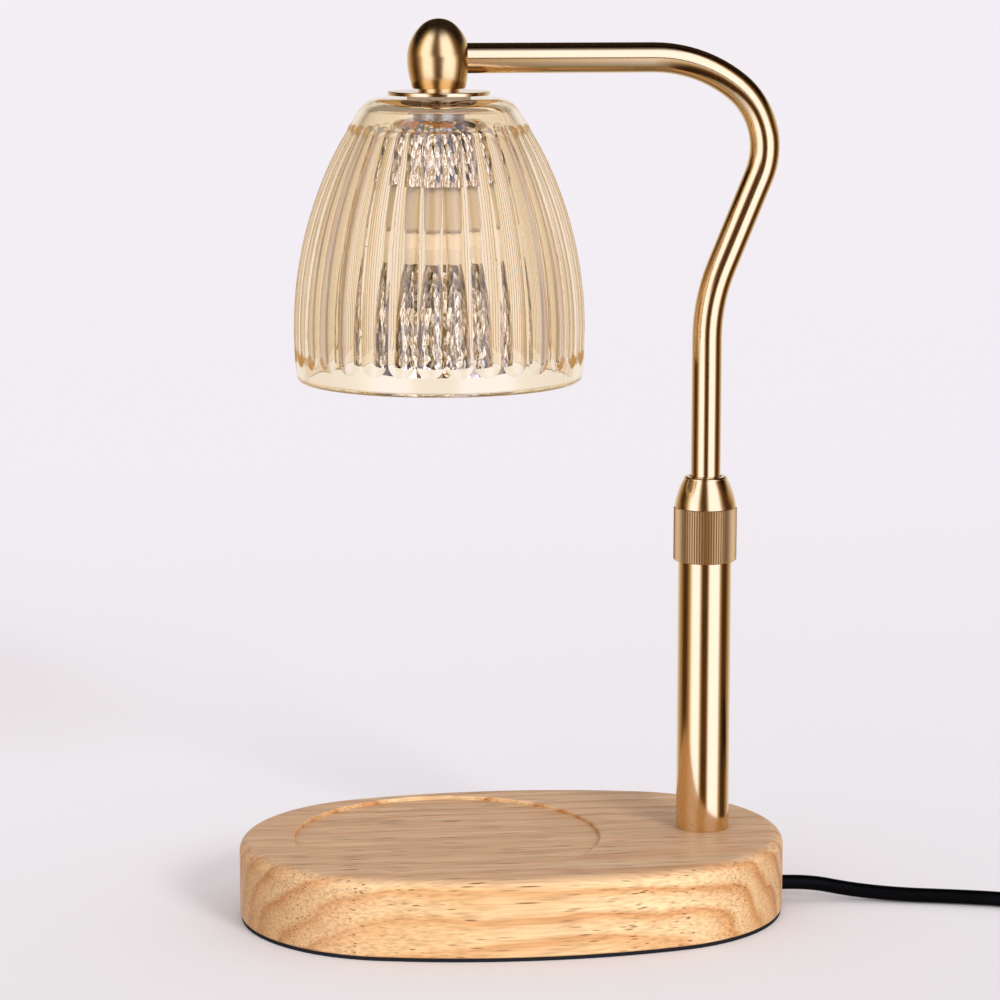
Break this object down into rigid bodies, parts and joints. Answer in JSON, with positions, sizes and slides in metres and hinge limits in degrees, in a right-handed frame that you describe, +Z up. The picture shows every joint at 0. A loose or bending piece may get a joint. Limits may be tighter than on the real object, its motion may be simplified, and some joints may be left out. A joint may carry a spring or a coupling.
{
  "type": "candle warmer lamp",
  "caption": "Candle warmer lamp with an oval wooden foot, a two-part post that slides and turns, a bent arm, a fluted glass shade, a reflector bulb and a cord with a thumb-wheel dimmer.",
  "frame": {"origin": "on the ground under the middle of the oval foot", "axes": "+Z up, +X from the candle's place to the post and the cord, +Y to the left of +X"},
  "size_m": [0.4608, 0.1222, 0.3023],
  "materials": {
    "oiled_wood": "oiled rubberwood, fine grain along the length",
    "black_foam": "matte closed-cell pad",
    "champagne_gold": "polished champagne-gold plating",
    "plain_brass": "machined brass",
    "polished_nickel": "polished nickel plating",
    "zinc_steel": "zinc-plated steel",
    "white_nylon": "moulded nylon",
    "white_silicone": "soft white silicone",
    "pale_amber_glass": "clear pressed glass with a pale amber tint",
    "silvered_glass": "silvered inside",
    "clear_glass": "clear polished glass",
    "white_ceramic": "glazed steatite",
    "black_pvc": "glossy flexible vinyl",
    "black_plastic": "satin moulded plastic",
    "white_wire": "insulated wire",
    "green_board": "circuit board"
  },
  "bodies": {
    "base": {"wood_foot": "oiled_wood", "foot_pad": "black_foam", "lower_tube": "champagne_gold", "tube_foot_insert": "zinc_steel", "foot_nipple": "plain_brass", "foot_washer": "zinc_steel", "foot_nut": "zinc_steel", "post_head": "champagne_gold", "collet": "plain_brass", "cord_bush": "black_pvc", "cord_clamp": "black_plastic", "cord_clamp_screws": "zinc_steel", "inner_cord": "black_pvc", "base_wires": "white_wire", "lead_cord": "black_pvc", "feed_cord": "black_pvc", "cord_coil": "black_pvc", "dimmer_boots": "black_pvc", "dimmer_top_shell": "black_plastic", "dimmer_bottom_shell": "black_plastic", "dimmer_screws": "zinc_steel", "dimmer_board": "green_board", "dimmer_axle": "zinc_steel", "plug_relief": "black_pvc", "plug_body": "black_pvc", "plug_blades": "plain_brass"},
    "clamping_nut": {"collet_nut": "champagne_gold"},
    "guide": {"slide_bush": "white_nylon"},
    "arm": {"upper_tube": "champagne_gold", "bush_clips": "zinc_steel", "arm_wires": "white_wire", "head_cap": "champagne_gold", "top_disc": "champagne_gold", "upper_gasket": "white_silicone", "lower_gasket": "white_silicone", "glass_shade": "pale_amber_glass", "shade_ring_nut": "zinc_steel", "head_nipple": "plain_brass", "holder_cup": "polished_nickel", "holder_bracket": "zinc_steel", "holder_nut": "zinc_steel", "lampholder": "white_ceramic", "holder_screws": "zinc_steel"},
    "bulb": {"bulb_base": "white_ceramic", "bulb_pins": "plain_brass", "bulb_reflector": "silvered_glass", "bulb_front_glass": "clear_glass", "bulb_capsule": "clear_glass"},
    "thumb_wheel": {"dimmer_wheel": "black_plastic"}
  },
  "joints": [
    {"name": "height_slide", "type": "slide", "parent": "base", "child": "guide", "axis": [0, 0, 1], "range_m": [-0.04, 0.02]},
    {"name": "arm_swivel", "type": "hinge", "parent": "guide", "child": "arm", "pos_m": [0.0657, 0, 0.083], "axis": [0, 0, 1], "range_deg": [-150, 150]},
    {"name": "nut_turn", "type": "hinge", "parent": "base", "child": "clamping_nut", "pos_m": [0.0657, 0, 0.13], "axis": [0, 0, 1], "range_deg": [0, 180]},
    {"name": "bulb_twist", "type": "hinge", "parent": "arm", "child": "bulb", "pos_m": [-0.0244, 0, 0.233], "axis": [0, 0, 1], "range_deg": [-25, 0]},
    {"name": "dimmer_turn", "type": "hinge", "parent": "base", "child": "thumb_wheel", "pos_m": [0.277, -0.045, 0.0105], "axis": [0, 1, 0], "range_deg": [0, 270]}
  ]
}
